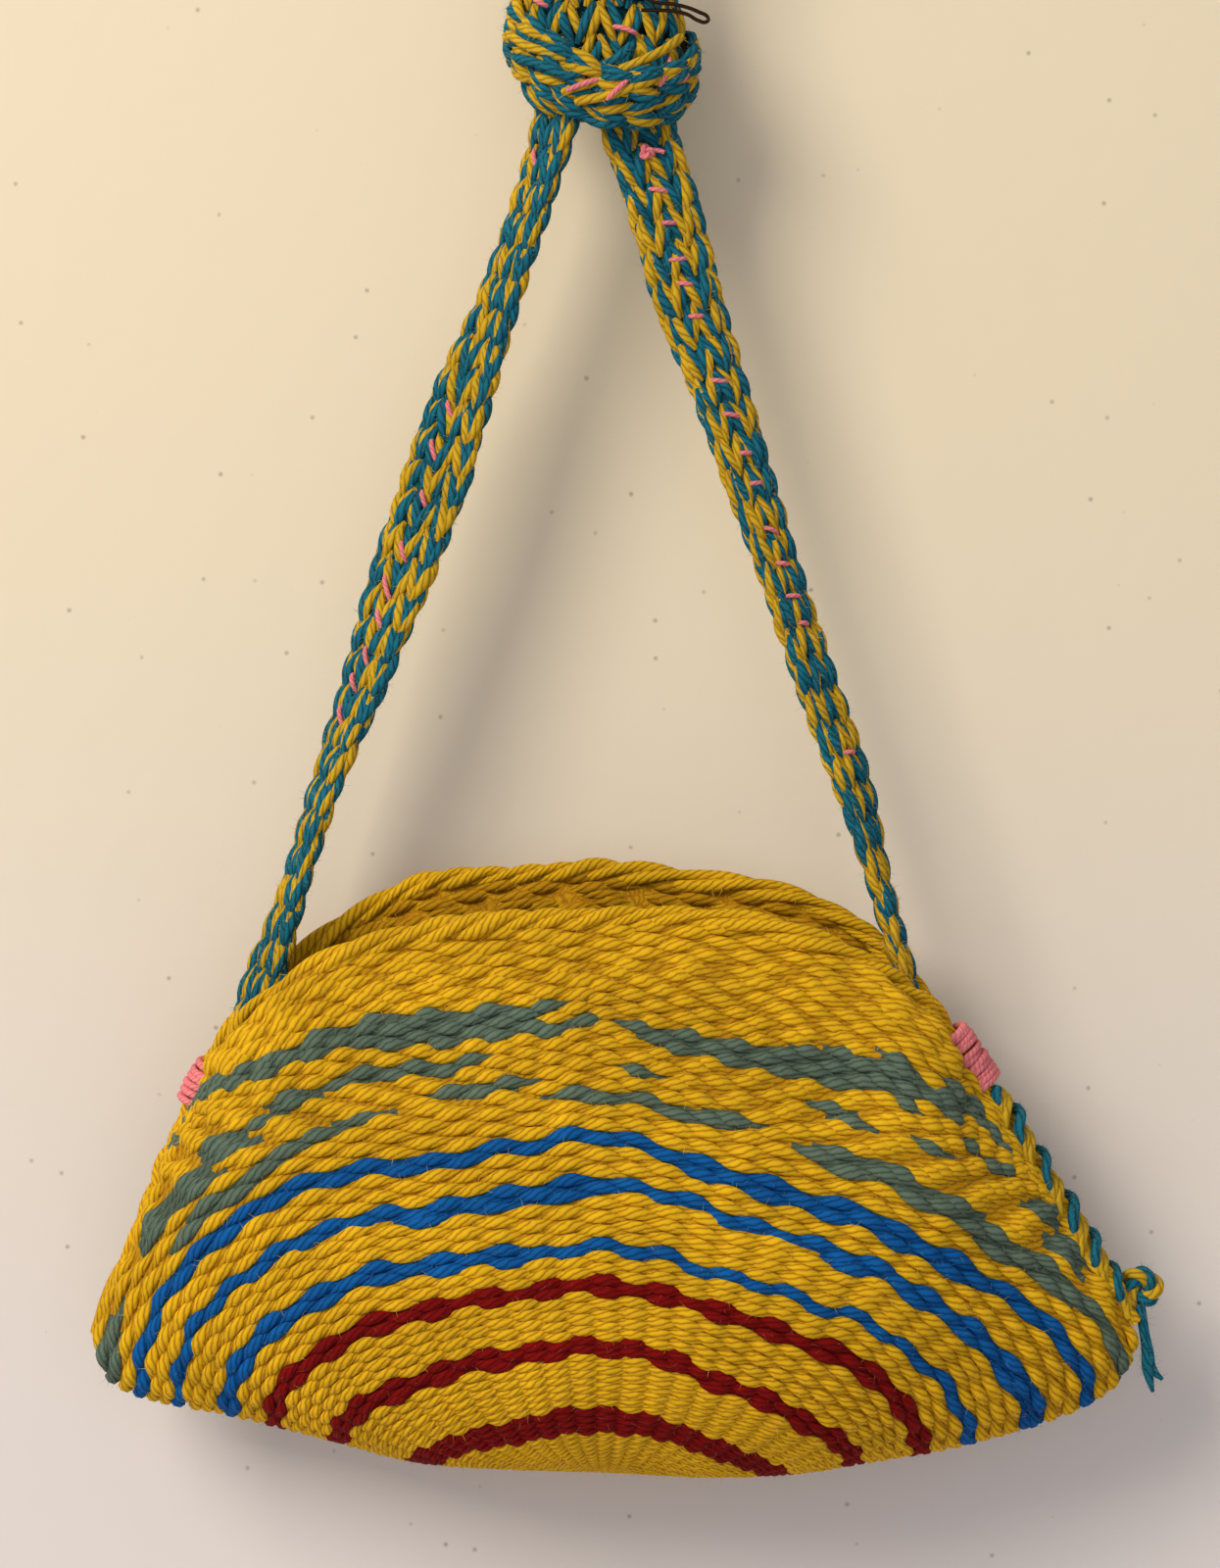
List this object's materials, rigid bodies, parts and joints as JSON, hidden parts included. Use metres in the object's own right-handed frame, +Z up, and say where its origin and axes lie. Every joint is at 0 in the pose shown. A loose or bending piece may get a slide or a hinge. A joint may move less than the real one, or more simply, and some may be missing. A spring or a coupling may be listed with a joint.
{
  "type": "bilum string bag",
  "caption": "Round woven yarn bag folded in half, with rings of colour and a knotted knitted strap to hang it by.",
  "frame": {"origin": "inside top of the strap's hanging loop, in the middle of the band's width", "axes": "+X to the bag's right as seen from its front, -Y towards the front, +Z up"},
  "size_m": [0.2891, 0.0785, 0.4688],
  "materials": {
    "woven_yarn": "matt plied wool yarn, weft-faced weave",
    "knitted_yarn": "matt plied wool yarn, teal and yellow together",
    "pink_thread": "matt cotton thread",
    "bronzed_wire": "dark bronzed wire"
  },
  "bodies": {
    "root": {"bag_body": "woven_yarn", "strap": "knitted_yarn", "tack_left": "pink_thread", "tack_right": "pink_thread", "seam_yarn": "knitted_yarn", "pin": "bronzed_wire"}
  },
  "joints": []
}
